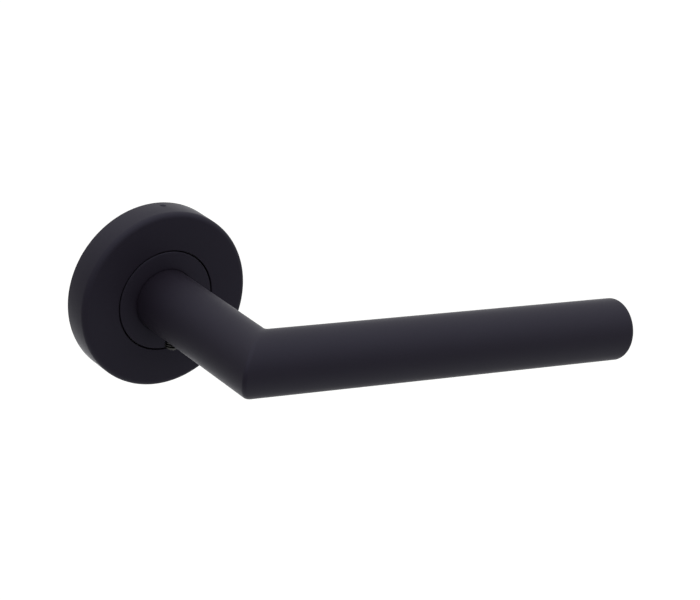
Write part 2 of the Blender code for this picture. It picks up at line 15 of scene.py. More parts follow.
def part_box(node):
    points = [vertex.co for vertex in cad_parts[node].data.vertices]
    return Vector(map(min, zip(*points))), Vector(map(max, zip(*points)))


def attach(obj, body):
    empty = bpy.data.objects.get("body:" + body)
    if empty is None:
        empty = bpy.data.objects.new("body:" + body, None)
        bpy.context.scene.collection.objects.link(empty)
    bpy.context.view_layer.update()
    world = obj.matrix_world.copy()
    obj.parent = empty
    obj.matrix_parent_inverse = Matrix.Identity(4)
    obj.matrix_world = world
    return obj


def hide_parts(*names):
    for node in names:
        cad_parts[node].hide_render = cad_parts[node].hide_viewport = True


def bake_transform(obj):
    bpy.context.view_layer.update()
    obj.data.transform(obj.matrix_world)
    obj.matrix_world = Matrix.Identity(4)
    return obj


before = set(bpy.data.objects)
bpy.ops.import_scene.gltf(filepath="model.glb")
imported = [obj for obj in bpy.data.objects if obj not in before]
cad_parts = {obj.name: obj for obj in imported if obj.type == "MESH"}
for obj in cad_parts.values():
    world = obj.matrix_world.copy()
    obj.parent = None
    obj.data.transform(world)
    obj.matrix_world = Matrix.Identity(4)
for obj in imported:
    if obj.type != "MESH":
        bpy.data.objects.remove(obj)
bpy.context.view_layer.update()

# Camera matched to the photograph: place, angles in degrees and lens in mm on a 36 mm wide sensor
CAMERA_PLACE = (-0.35448, -0.58430, 0.23868)
CAMERA_HEADING = 36.2095
CAMERA_FALL = 18.8812
CAMERA_ROLL = 8.5145
CAMERA_LENS = 125.453
SENSOR_WIDTH = 36.0

# Facets and edges. A rounding takes at most EDGE_SHARE of each side that it joins
TURN_STEPS = 192
SMALL_STEPS = 64
ARC_STEPS = 10
EDGE_STEPS = 3
LEAST_STEPS = 4
WIRE_SIDES = 20
HEX_SIDES = 6
EDGE_BREAK = 0.00015
EDGE_SHARE = 0.45
EDGE_LIMIT = math.radians(50)
CAST_EDGE = 0.0003
SMOOTH_ANGLE = math.radians(34)
MERGE = 1e-7
SEAM_MERGE = 3e-6
CUT = 0.002

# Gaps. The one round the neck is a hairline, as photographed, and the others are the CAD's
REST_GAP = 0.0003
RUN_GAP = 0.00025
DISC_GROOVE = 0.0004
NECK_GROOVE = 0.00004

# Cover and disc. The dimples are turned a little from 12 and 6 o'clock, as photographed
COVER_WALL = 0.0012
COVER_EDGE = 0.0017
DIMPLE_HEIGHT = 0.0031
DIMPLE_RADIUS = 0.0007
DIMPLE_DEPTH = 0.0006
DIMPLE_TURN = math.radians(1.4)
DENT_RADIUS = 0.00095
DENT_DEPTH = 0.00035
DISC_CHAMFER = 0.00018
HOUSING_WALL = 0.0016
HOUSING_LIP = 0.0006
LIP_ROUND = 0.0009
LIP_DEPTH = 0.00015
LUG_ROOT = 0.0008
EAR_RADIUS = 0.0035
EAR_THICKNESS = 0.0015
EAR_RELIEF = 0.0001
STOP_ANGLE = math.radians(16)
LEVER_TURN = math.radians(45)
WING_HALF_ANGLE = math.radians(14)

# Base plate
BASE_FLOOR = 0.0025
TROUGH_WEB = 0.0013
BACK_RECESS = 0.0024
BACK_RECESS_MARGIN = 0.0008
BOSS_WALL = 0.0016
RIM_WIDTH = 0.0023
SEAL_DIAMETER = 0.0010
SEAL_GAP = 0.00025
SPIGOT_WALL = 0.0017
RIB_COUNT = 8
RIB_RADIUS = 0.0006
RIB_SINK = 0.0001
PIN_MARK_COUNT = 4
PIN_MARK_RADIUS = 0.0016
PIN_MARK_DEPTH = 0.00015
HOLE_CHAMFER = 0.0003

# Lever and what turns with it
BAR_WALL = 0.0015
MITRE_FILLET = 0.0011
TIP_RADIUS = 0.0020
SPINDLE_CORNERS = 0.0102
SPINDLE_END = 0.0006
SOCKET_WALL = 0.0008
RING_GROOVE_DEPTH = 0.0008
RING_SIDE_GAP = 0.0001
RING_WIDTH = 0.0023
RING_OPENING = math.radians(70)
RING_LUG_HOLE = 0.0006
KEY_STEP = 0.0002
GRUB_PITCH = 0.0007
GRUB_SOCKET = 0.0020
GRUB_SOCKET_DEPTH = 0.0020
GRUB_CHAMFER = 0.0004
GRUB_SPOT_DEPTH = 0.0017

# Screws. A thread's depth and its flank, from crest to root, are in shares of the pitch. A recess is its
# width in shares of the screw's radius and its length in shares of the head's
FIXING_RADIUS = 0.0020
FIXING_HEAD = 0.0024
FIXING_PITCH = 0.0007
EAR_SCREW_RADIUS = 0.0015
EAR_SCREW_HEAD = 0.0016
EAR_SCREW_PITCH = 0.0005
RECESS_TURN = math.radians(22)
RECESS_MOUTH = (0.6, 1.15)
RECESS_FLOOR = (0.4, 0.5)
HEAD_ROUND = 0.6
THREAD_SIDES = 40
THREAD_ROWS = 10
THREAD_DEPTH = 0.6
THREAD_CREST = 0.06
THREAD_ROOT = 0.44
THREAD_HALF = 0.5

# Return spring
SPRING_WIRE = 0.0013
SPRING_INNER_GAP = 0.00075
SPRING_BEND = 0.0013
SPRING_PITCH = 0.00175
COIL_STEPS = 72

# Finishes: what most of a noise spans, the wave texture's length at scale 1, the lathe's feed as drawn, and
# how far the coat's grain changes its roughness
NOISE_LOW = 0.3
NOISE_HIGH = 0.7
WAVE_LENGTH = math.pi / 10
FEED = 0.0003
COAT_GRAIN = 0.06

# Studio: levels of the white tent, its glows and the paper floor. A glow is its level, way and narrowness
TENT_LEVEL = 0.23
TENT_TOP = 0.82
SWEEP_GLOW = (0.75, (0.10, 0.80, -0.59), 8.0)
FILL_GLOW = (0.40, (0.72, -0.28, -0.63), 8.0)
TABLE_GLOW = (0.40, (-0.15, -0.10, -0.98), 8.0)
BACKDROP_GLOW = (0.85, (0.55, 0.80, -0.22), 5.0)
PAPER_GLOW = 0.4
FLOOR_RADIUS = 3.0
FLOOR_DROP = 0.35

STAND_UPRIGHT = Matrix.Rotation(math.pi / 2, 4, "X")
DOWNWARD = Matrix.Rotation(math.pi / 2, 4, "X")
UPWARD = Matrix.Rotation(-math.pi / 2, 4, "X")


def rose_box(node):
    """Lowest and highest corner of a CAD node in the rose's frame."""
    low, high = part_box(node)
    return Vector((low.x, low.z, -high.y)), Vector((high.x, high.z, -low.y))


cover_high = rose_box("rose_cover")[1]
rose_radius = cover_high.x
rose_depth = cover_high.z
cover_inner = rose_radius - COVER_WALL
base_low, base_high = rose_box("base_plate")
seal_low, seal_high = rose_box("cover_o_ring")
housing_low, housing_high = rose_box("spring_housing")
disc_radius = housing_high.y
cup_radius = disc_radius - HOUSING_WALL
wall_middle = disc_radius - HOUSING_WALL / 2
ear_offset = housing_high.x - EAR_RADIUS
neck_bush_high = rose_box("neck_bush")[1]
counterbore = neck_bush_high.x + RUN_GAP
rear_bush_high = rose_box("rear_bush")[1]
rear_bore = rear_bush_high.x + RUN_GAP
boss_radius = rear_bore + BOSS_WALL
fixing_low, fixing_high = rose_box("fixing_screw_upper")
fixing_offset = (fixing_low.y + fixing_high.y) / 2
ear_screw_low, ear_screw_high = rose_box("housing_screw_right")
cap_low, cap_high = rose_box("end_cap")
bar_radius = cap_high.y
bore_radius = bar_radius - BAR_WALL
grip_axis = (cap_low.z + cap_high.z) / 2
grip_end = cap_high.x
tube_low = rose_box("lever_tube")[0]
hub_low, hub_high = rose_box("neck_insert")
hub_radius = hub_high.x
grub_low, grub_high = rose_box("grub_screw")
grub_radius = grub_high.x
grub_height = (grub_low.z + grub_high.z) / 2
spindle_low, spindle_high = rose_box("spindle")
spindle_side = 2 * spindle_high.x
spindle_chamfer = spindle_side - SPINDLE_CORNERS / math.sqrt(2)
ring_low, ring_high = rose_box("retaining_ring")
ring_groove = SPINDLE_CORNERS / 2 + REST_GAP + SOCKET_WALL
journal_radius = ring_groove + RING_GROOVE_DEPTH
running_bore = journal_radius + RUN_GAP
key_flat = journal_radius + KEY_STEP
driver_low, driver_high = rose_box("spring_driver")
spring_low, spring_high = rose_box("return_spring")
coil_top = driver_low.z - REST_GAP - SPRING_WIRE / 2
coil_bottom = TROUGH_WEB + REST_GAP + SPRING_WIRE / 2
coil_radius = boss_radius + SPRING_INNER_GAP + SPRING_WIRE / 2
wing_angle = math.pi + LEVER_TURN / 2
leg_lead = math.atan2(SPRING_BEND, coil_radius)
leg_radius = math.hypot(coil_radius, SPRING_BEND)
leg_hole = SPRING_WIRE / 2 + REST_GAP
coil_end = wing_angle + leg_lead
coil_start = coil_end + 2 * math.pi * (coil_top - coil_bottom) / SPRING_PITCH


def linear(hex_colour):
    """Linear colour of an sRGB hex value."""
    channels = [int(hex_colour[i : i + 2], 16) / 255 for i in (1, 3, 5)]
    return (*[c / 12.92 if c <= 0.04045 else ((c + 0.055) / 1.055) ** 2.4 for c in channels], 1)


def add_node(tree, kind, inputs=None, **settings):
    """Adds a node with its settings, and with values or other nodes' outputs on its inputs."""
    node = tree.nodes.new(kind)
    for name, value in settings.items():
        setattr(node, name, value)
    for name, value in (inputs or {}).items():
        if isinstance(value, bpy.types.NodeSocket):
            tree.links.new(value, node.inputs[name])
        else:
            node.inputs[name].default_value = value
    return node.outputs


def new_material(name, values):
    """A material with fixed values on its shader. Returns it with its tree, shader inputs and object
    coordinates."""
    material = bpy.data.materials.new(name)
    material.use_nodes = True
    tree = material.node_tree
    shader = tree.nodes["Principled BSDF"].inputs
    for value_name, value in values.items():
        shader[value_name].default_value = value
    place = add_node(tree, "ShaderNodeTexCoord")["Object"]
    return material, tree, shader, place


def noise(tree, place, size, detail, distortion=0.0):
    """Noise whose patches are about as large as size."""
    inputs = {"Vector": place, "Scale": 1 / size, "Detail": detail, "Distortion": distortion}
    return add_node(tree, "ShaderNodeTexNoise", inputs)[0]


def ranged(tree, value, low, high, start=0.0, end=1.0):
    """The value carried over from start and end to low and high, and held there."""
    return add_node(tree, "ShaderNodeMapRange", {0: value, 1: start, 2: end, 3: low, 4: high})[0]


def tones(tree, share, first, second):
    """Colour between two, by the share of the second."""
    return add_node(tree, "ShaderNodeMix", {0: share, 6: first, 7: second}, data_type="RGBA")[2]


def paint(tree, shader, share, first, second):
    """Sets the base colour between two sRGB hex values."""
    tree.links.new(tones(tree, share, linear(first), linear(second)), shader["Base Color"])


def roughen(tree, shader, share, low, high, start=NOISE_LOW, end=NOISE_HIGH):
    """Sets the roughness between two values, by default over what most of a noise spans."""
    tree.links.new(ranged(tree, share, low, high, start, end), shader["Roughness"])


def emboss(tree, shader, height, strength, depth):
    """Sets a bump."""
    bump = add_node(tree, "ShaderNodeBump", {"Height": height, "Strength": strength, "Distance": depth})[0]
    tree.links.new(bump, shader["Normal"])


def matt_black_electrocoat():
    """Baked black coat over steel and zinc: almost black with a faint violet cast, and a wide soft sheen
    that brightens only where the surface turns away. The bath leaves a fine grain, drawn at 0.5 mm so that
    it shows."""
    material, tree, shader, place = new_material(
        "matt_black_electrocoat", {"Specular IOR Level": 0.54, "Specular Tint": linear("#dbe1ff")}
    )
    paint(tree, shader, noise(tree, place, size=0.009, detail=3), "#1e1722", "#221b26")
    grain = noise(tree, place, size=0.0005, detail=2)
    aside = add_node(tree, "ShaderNodeLayerWeight", {"Blend": 0.5})["Facing"]
    sleek = ranged(tree, aside, low=0.57, high=0.44, start=0.6, end=1.0)
    grained = {0: grain, 1: COAT_GRAIN, 2: sleek}
    rough = add_node(tree, "ShaderNodeMath", grained, operation="MULTIPLY_ADD")[0]
    tree.links.new(rough, shader["Roughness"])
    emboss(tree, shader, grain, strength=0.05, depth=0.0001)
    return material


def black_oxide_steel():
    """Hardened steel blackened in a hot bath: near-black metal with a thin oil film. Crests and edges are
    painted
    pale: partly bare steel where they wore, partly a painted highlight that stands in for their glints."""
    material, tree, shader, place = new_material("black_oxide_steel", {"Metallic": 1.0})
    drift = noise(tree, place, size=0.002, detail=3)
    tone = tones(tree, drift, linear("#2b2b2d"), linear("#3a3937"))
    # Painted highlight: crests and edges, picked out by their pointiness, are painted pale. This stands in
    # for their glints as well as for wear to bare steel.
    edge = add_node(tree, "ShaderNodeNewGeometry")["Pointiness"]
    wear_and_glint = ranged(tree, edge, low=0.0, high=1.0, start=0.52, end=0.60)
    tree.links.new(tones(tree, wear_and_glint, tone, linear("#b8b7b4")), shader["Base Color"])
    roughen(tree, shader, drift, low=0.28, high=0.40)
    return material


def die_cast_zinc():
    """Zinc alloy straight from the die: pale grey metal, dulled in swirls where the melt flowed, with a
    fine sandy skin drawn at 0.4 mm so that it shows."""
    material, tree, shader, place = new_material("die_cast_zinc", {"Metallic": 1.0})
    flow = noise(tree, place, size=0.011, detail=4, distortion=1.5)
    swirl = ranged(tree, flow, low=0.0, high=1.0, start=NOISE_LOW, end=NOISE_HIGH)
    paint(tree, shader, swirl, "#838589", "#a1a3a6")
    roughen(tree, shader, swirl, low=0.44, high=0.58, start=0.0, end=1.0)
    emboss(tree, shader, noise(tree, place, size=0.0004, detail=2), strength=0.25, depth=0.0001)
    return material


def bright_zinc_plate():
    """Zinc plated on steel and passivated clear: bright satin metal that drifts between blue and straw,
    over the faint dents of barrel plating."""
    material, tree, shader, place = new_material("bright_zinc_plate", {"Metallic": 1.0})
    paint(tree, shader, noise(tree, place, size=0.006, detail=2), "#c2c8d2", "#cfcabb")
    knocks = noise(tree, place, size=0.0008, detail=3)
    roughen(tree, shader, knocks, low=0.26, high=0.38)
    emboss(tree, shader, knocks, strength=0.12, depth=0.0001)
    return material


def turned_steel():
    """Free-cutting steel straight from the lathe: grey metal with the tool's feed lines round the axis. The
    real feed of about 0.1 mm is drawn at 0.3 mm so that it shows."""
    material, tree, shader, place = new_material("turned_steel", {"Metallic": 1.0})
    paint(tree, shader, noise(tree, place, size=0.005, detail=3), "#9d9c9a", "#b9b8b5")
    feed = add_node(
        tree,
        "ShaderNodeTexWave",
        {"Vector": place, "Scale": WAVE_LENGTH / FEED, "Distortion": 0.4},
        bands_direction="Y",
    )[1]
    roughen(tree, shader, feed, low=0.28, high=0.38, start=0.0, end=1.0)
    emboss(tree, shader, feed, strength=0.2, depth=0.00005)
    return material


def oil_tempered_wire():
    """Spring wire tempered in oil: dark blue-grey metal with brown patches, satin from the drawing die."""
    material, tree, shader, place = new_material("oil_tempered_wire", {"Metallic": 1.0})
    temper = noise(tree, place, size=0.003, detail=3)
    paint(tree, shader, temper, "#595c62", "#6f675c")
    roughen(tree, shader, temper, low=0.30, high=0.42)
    return material


def moulded_acetal():
    """Black acetal from a spark-eroded mould: smooth and waxy, with a fine pebble drawn at 0.3 mm."""
    material, tree, shader, place = new_material("moulded_black_acetal", {"IOR": 1.48})
    pebble = noise(tree, place, size=0.0003, detail=2)
    paint(tree, shader, pebble, "#161617", "#1e1e1f")
    roughen(tree, shader, pebble, low=0.36, high=0.48)
    emboss(tree, shader, pebble, strength=0.15, depth=0.0001)
    return material


def nitrile_rubber():
    """Moulded nitrile rubber: dull black with a faint grey bloom in patches."""
    material, tree, shader, place = new_material("nitrile_rubber", {"IOR": 1.52})
    bloom = noise(tree, place, size=0.004, detail=4)
    paint(tree, shader, bloom, "#171718", "#29292a")
    roughen(tree, shader, bloom, low=0.62, high=0.80)
    return material


def mesh_of(shape, name):
    """Mesh of a closed bmesh shape, with its doubles merged and its faces turned outwards."""
    bmesh.ops.remove_doubles(shape, verts=shape.verts, dist=MERGE)
    bmesh.ops.recalc_face_normals(shape, faces=shape.faces)
    mesh = bpy.data.meshes.new(name)
    shape.to_mesh(mesh)
    shape.free()
    return mesh


def evaluated(obj):
    """Plain mesh of an object with its modifiers. The object is then removed."""
    bpy.context.scene.collection.objects.link(obj)
    bpy.context.view_layer.update()
    mesh = bpy.data.meshes.new_from_object(obj.evaluated_get(bpy.context.evaluated_depsgraph_get()))
    bpy.data.objects.remove(obj)
    return mesh


def arc(radius, start, end, centre=(0, 0), steps=ARC_STEPS):
    """Points along an arc, both ends included."""
    angles = [start + (end - start) * i / steps for i in range(steps + 1)]
    return [(centre[0] + radius * math.cos(a), centre[1] + radius * math.sin(a)) for a in angles]


def circle(radius, centre=(0, 0), steps=SMALL_STEPS):
    """Points round a circle."""
    return arc(radius, 0, 2 * math.pi, centre, steps)[:-1]


def sector(inner, outer, start, end):
    """Outline of a piece of a ring."""
    steps = max(LEAST_STEPS, round(SMALL_STEPS * (end - start) / (2 * math.pi)))
    return arc(outer, start, end, steps=steps) + arc(inner, end, start, steps=steps)


def four_turns(points):
    """Points repeated at each quarter turn."""
    turns = [(1, 0), (0, 1), (-1, 0), (0, -1)]
    return [(x * c - y * s, x * s + y * c) for c, s in turns for x, y in points]


def chamfered_square(side):
    """Outline of a square with the spindle's broken corners."""
    half = side / 2
    return four_turns([(half, half - spindle_chamfer), (half - spindle_chamfer, half)])


def softened(profile, radius=EDGE_BREAK):
    """A turned profile with its sharp corners rounded. Points on the axis stay."""
    points = []
    for i, corner in enumerate(profile):
        here = Vector(corner)
        back = Vector(profile[i - 1]) - here
        ahead = Vector(profile[(i + 1) % len(profile)]) - here
        if here.x == 0 or back.angle(-ahead) < SMOOTH_ANGLE:
            points.append(corner)
            continue
        reach = min(radius, EDGE_SHARE * back.length, EDGE_SHARE * ahead.length)
        start = here + back.normalized() * reach
        end = here + ahead.normalized() * reach
        for step in range(EDGE_STEPS + 1):
            t = step / EDGE_STEPS
            points.append(tuple((1 - t) ** 2 * start + 2 * t * (1 - t) * here + t * t * end))
    return points


def turned(profile, steps=TURN_STEPS):
    """A solid turned about z from (radius, height) points down its outer side. A profile that starts and
    ends on the axis is left open there, and any other is closed into a ring."""
    shape = bmesh.new()
    rings = []
    for radius, height in profile:
        points = circle(radius, steps=steps) if radius > 0 else [(0, 0)]
        rings.append([shape.verts.new((x, y, height)) for x, y in points])
    following = rings[1:] if profile[0][0] == 0 else rings[1:] + rings[:1]
    for upper, lower in zip(rings, following):
        for i in range(steps):
            j = (i + 1) % steps
            above = (upper[i % len(upper)], upper[j % len(upper)])
            below = (lower[j % len(lower)], lower[i % len(lower)])
            shape.faces.new(list(dict.fromkeys(above + below)))
    return mesh_of(shape, "turned")


def loft(lower, upper, bottom, top):
    """A closed solid between two outlines of as many points, at two heights."""
    shape = bmesh.new()
    under = [shape.verts.new((x, y, bottom)) for x, y in lower]
    over = [shape.verts.new((x, y, top)) for x, y in upper]
    shape.faces.new(under)
    shape.faces.new(over)
    for i, corner in enumerate(under):
        j = (i + 1) % len(under)
        shape.faces.new((corner, under[j], over[j], over[i]))
    return mesh_of(shape, "loft")


def broken(mesh, width=EDGE_BREAK, limit=EDGE_LIMIT):
    """The mesh with its sharp edges rounded."""
    obj = bpy.data.objects.new("piece", mesh)
    bevel = obj.modifiers.new("edges", "BEVEL")
    bevel.width = width
    bevel.segments = EDGE_STEPS
    bevel.limit_method = "ANGLE"
    bevel.angle_limit = limit
    return evaluated(obj)


def plate(outline, bottom, top, width=EDGE_BREAK):
    """A flat piece cut from sheet, with its edges broken."""
    return broken(loft(outline, outline, bottom, top), width)


def drill(radius, bottom, top, chamfer=HOLE_CHAMFER):
    """Tool for a hole along z with both of its rims broken."""
    rim = radius + chamfer + EDGE_BREAK
    profile = [
        (0, top + CUT),
        (rim, top + CUT),
        (rim, top + EDGE_BREAK),
        (radius, top - chamfer),
        (radius, bottom + chamfer),
        (rim, bottom - EDGE_BREAK),
        (rim, bottom - CUT),
        (0, bottom - CUT),
    ]
    return turned(profile, SMALL_STEPS)


def boolean(mesh, operation, *tools):
    """The mesh with tools cut from it or joined to it."""
    obj = bpy.data.objects.new("piece", mesh)
    tool_objects = []
    for tool in tools:
        tool_object = bpy.data.objects.new("tool", tool)
        bpy.context.scene.collection.objects.link(tool_object)
        tool_objects.append(tool_object)
        modifier = obj.modifiers.new("tool", "BOOLEAN")
        modifier.operation = operation
        modifier.solver = "EXACT"
        modifier.object = tool_object
    result = evaluated(obj)
    for tool_object in tool_objects:
        bpy.data.objects.remove(tool_object)
    return result


def moved(mesh, *matrices):
    """The mesh after each matrix in turn."""
    for matrix in matrices:
        mesh.transform(matrix)
    return mesh


def shifted(mesh, x, y, z):
    """The mesh moved along."""
    return moved(mesh, Matrix.Translation((x, y, z)))


def finished(name, mesh, material, slot, *nodes):
    """Makes a finished piece of a mesh in the rose's frame, with the slivers along its cut seams closed up.
    It stands for CAD nodes."""
    shape = bmesh.new()
    shape.from_mesh(mesh)
    bmesh.ops.remove_doubles(shape, verts=shape.verts, dist=SEAM_MERGE)
    bmesh.ops.dissolve_degenerate(shape, edges=shape.edges, dist=SEAM_MERGE)
    bmesh.ops.triangulate(shape, faces=[f for f in shape.faces if len(f.verts) > 4])
    bmesh.ops.dissolve_degenerate(shape, edges=shape.edges, dist=SEAM_MERGE)
    shape.to_mesh(mesh)
    shape.free()
    mesh.transform(STAND_UPRIGHT)
    mesh.materials.clear()
    mesh.materials.append(material)
    mesh.polygons.foreach_set("material_index", [0] * len(mesh.polygons))
    mesh.shade_smooth()
    mesh.set_sharp_from_angle(angle=SMOOTH_ANGLE)
    obj = bpy.data.objects.new(name, mesh)
    bpy.context.scene.collection.objects.link(obj)
    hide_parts(*nodes)
    return obj


def dress(name, mesh, material, slot, body, *nodes):
    """A finished piece that rides on one body."""
    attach(finished(name, mesh, material, slot, *nodes), body)


def new_tree(name, inputs):
    """An empty Geometry Nodes tree with named inputs. Returns it with those inputs."""
    tree = bpy.data.node_groups.new(name, "GeometryNodeTree")
    tree.interface.new_socket("Result", in_out="OUTPUT", socket_type="NodeSocketGeometry")
    for input_name, kind in inputs.items():
        tree.interface.new_socket(input_name, in_out="INPUT", socket_type="NodeSocket" + kind)
    return tree, add_node(tree, "NodeGroupInput")


def close_tree(tree, geometry, finish):
    """Ends a tree: instances made real, with a finish on them."""
    real = add_node(tree, "GeometryNodeRealizeInstances", {0: geometry})[0]
    done = add_node(tree, "GeometryNodeSetMaterial", {"Geometry": real, "Material": finish})[0]
    add_node(tree, "NodeGroupOutput", {0: done})
    return tree


def grown(tree, mesh, values):
    """Plain mesh that a Geometry Nodes tree makes of a mesh, from the values of its named inputs."""
    source = bpy.data.objects.new("source", mesh)
    modifier = source.modifiers.new("grow", "NODES")
    modifier.node_group = tree
    for item in tree.interface.items_tree:
        if item.in_out == "INPUT" and item.name in values:
            modifier[item.identifier] = values[item.name]
    return evaluated(source)


def ring_tree():
    """Rule for what repeats about the rose's axis: a shape copied at even angles from a first one."""
    kinds = {"Shape": "Geometry", "Count": "Int", "First Angle": "Float", "Finish": "Material"}
    tree, sizes = new_tree("around_the_axis", kinds)
    middle = add_node(tree, "GeometryNodePoints", {"Count": sizes["Count"]})[0]
    number = add_node(tree, "GeometryNodeInputIndex")[0]
    step = add_node(tree, "ShaderNodeMath", {0: 2 * math.pi, 1: sizes["Count"]}, operation="DIVIDE")[0]
    angle = add_node(
        tree, "ShaderNodeMath", {0: number, 1: step, 2: sizes["First Angle"]}, operation="MULTIPLY_ADD"
    )[0]
    euler = add_node(tree, "ShaderNodeCombineXYZ", {2: angle})[0]
    turn = add_node(tree, "FunctionNodeEulerToRotation", {0: euler})[0]
    copies = add_node(
        tree,
        "GeometryNodeInstanceOnPoints",
        {"Points": middle, "Instance": sizes["Shape"], "Rotation": turn},
    )[0]
    return close_tree(tree, copies, sizes["Finish"])


def around(mesh, count, first_angle=0.0):
    """The mesh copied about the rose's axis."""
    return grown(rings, mesh, {"Count": count, "First Angle": first_angle})


def thread_tree():
    """Rule for a screw's threaded shank: a rod whose skin is drawn in along a helix, with both ends
    tapered."""
    kinds = {"Radius": "Float", "Length": "Float", "Pitch": "Float", "Depth": "Float", "Taper": "Float"}
    tree, sizes = new_tree("threaded_shank", {**kinds, "Rows": "Int", "Finish": "Material"})
    rod_sizes = {"Side Segments": sizes["Rows"], "Radius": sizes["Radius"], "Depth": sizes["Length"]}
    rod = add_node(tree, "GeometryNodeMeshCylinder", {"Vertices": THREAD_SIDES, **rod_sizes})["Mesh"]
    place = add_node(tree, "GeometryNodeInputPosition")[0]
    axis = add_node(tree, "ShaderNodeSeparateXYZ", {0: place})
    angle = add_node(tree, "ShaderNodeMath", {0: axis["Y"], 1: axis["X"]}, operation="ARCTAN2")[0]
    turn = add_node(tree, "ShaderNodeMath", {0: angle, 1: 2 * math.pi}, operation="DIVIDE")[0]
    rise = add_node(tree, "ShaderNodeMath", {0: axis["Z"], 1: sizes["Pitch"]}, operation="DIVIDE")[0]
    phase = add_node(tree, "ShaderNodeMath", {0: rise, 1: turn}, operation="SUBTRACT")[0]
    flank = add_node(tree, "ShaderNodeMath", {0: phase, 1: THREAD_HALF}, operation="PINGPONG")[0]
    drawn_in = ranged(tree, flank, low=0.0, high=sizes["Depth"], start=THREAD_CREST, end=THREAD_ROOT)
    thread = add_node(tree, "ShaderNodeMath", {0: sizes["Radius"], 1: drawn_in}, operation="SUBTRACT")[0]
    half = add_node(tree, "ShaderNodeMath", {0: sizes["Length"], 1: 2.0}, operation="DIVIDE")[0]
    height = add_node(tree, "ShaderNodeMath", {0: axis["Z"]}, operation="ABSOLUTE")[0]
    from_end = add_node(tree, "ShaderNodeMath", {0: half, 1: height}, operation="SUBTRACT")[0]
    end_radius = add_node(
        tree, "ShaderNodeMath", {0: sizes["Radius"], 1: sizes["Taper"]}, operation="SUBTRACT"
    )[0]
    taper = add_node(tree, "ShaderNodeMath", {0: end_radius, 1: from_end}, operation="ADD")[0]
    radius = add_node(tree, "ShaderNodeMath", {0: thread, 1: taper}, operation="MINIMUM")[0]
    share = add_node(tree, "ShaderNodeMath", {0: radius, 1: sizes["Radius"]}, operation="DIVIDE")[0]
    scale = add_node(tree, "ShaderNodeCombineXYZ", {0: share, 1: share, 2: 1.0})[0]
    skin = add_node(tree, "ShaderNodeVectorMath", {0: place, 1: scale}, operation="MULTIPLY")[0]
    shank = add_node(tree, "GeometryNodeSetPosition", {"Geometry": rod, "Position": skin})[0]
    return close_tree(tree, shank, sizes["Finish"])


def threaded_shank(radius, bottom, top, pitch, taper, finish):
    """Threaded rod along z."""
    values = {
        "Radius": radius,
        "Length": top - bottom,
        "Pitch": pitch,
        "Depth": THREAD_DEPTH * pitch,
        "Taper": taper,
        "Rows": round(THREAD_ROWS * (top - bottom) / pitch),
        "Finish": finish,
    }
    return shifted(grown(threads, bpy.data.meshes.new("shank"), values), 0, 0, (bottom + top) / 2)


def wire_tree():
    """Rule for the spring: a round wire swept along a chain of points."""
    tree, sizes = new_tree("swept_wire", {"Path": "Geometry", "Radius": "Float", "Finish": "Material"})
    path = add_node(tree, "GeometryNodeMeshToCurve", {0: sizes["Path"]})[0]
    section_sizes = {"Resolution": WIRE_SIDES, "Radius": sizes["Radius"]}
    section = add_node(tree, "GeometryNodeCurvePrimitiveCircle", section_sizes)[0]
    wire = add_node(
        tree, "GeometryNodeCurveToMesh", {"Curve": path, "Profile Curve": section, "Fill Caps": True}
    )[0]
    return close_tree(tree, wire, sizes["Finish"])


def rose_cover():
    """Pressed cup with a rounded front edge, and a pressed dimple near 12 and near 6 o'clock."""
    hole = disc_radius + DISC_GROOVE
    front = arc(COVER_EDGE, math.pi / 2, 0, (rose_radius - COVER_EDGE, rose_depth - COVER_EDGE))
    inner_radius = COVER_EDGE - COVER_WALL
    inner_centre = (cover_inner - inner_radius, rose_depth - COVER_WALL - inner_radius)
    inside = arc(inner_radius, 0, math.pi / 2, inner_centre)
    back = [(rose_radius, 0), (cover_inner, 0)]
    profile = [(hole, rose_depth), *front, *back, *inside, (hole, rose_depth - COVER_WALL)]
    mesh = turned(softened(profile))
    middle = rose_radius - COVER_WALL / 2
    tip = cover_inner - DIMPLE_DEPTH
    flank = [(DIMPLE_RADIUS, middle), (DIMPLE_RADIUS, cover_inner), (DIMPLE_RADIUS / 2, tip)]
    bump = [(0, middle), *flank, (0, tip)]
    bump_mesh = shifted(moved(turned(softened(bump), SMALL_STEPS), UPWARD), 0, 0, DIMPLE_HEIGHT)
    ball = (DENT_RADIUS**2 + DENT_DEPTH**2) / (2 * DENT_DEPTH)
    dent = arc(ball, math.pi / 2, -math.pi / 2, (0, rose_radius - DENT_DEPTH + ball), 2 * ARC_STEPS)
    dent[0] = (0, dent[0][1])
    dent[-1] = (0, dent[-1][1])
    dent_mesh = shifted(moved(turned(dent, SMALL_STEPS), UPWARD), 0, 0, DIMPLE_HEIGHT)
    mesh = boolean(mesh, "UNION", around(bump_mesh, 2, DIMPLE_TURN))
    mesh = boolean(mesh, "DIFFERENCE", around(dent_mesh, 2, DIMPLE_TURN))
    dress("rose_cover_cup", mesh, coat, "black_coat", "cover", "rose_cover")


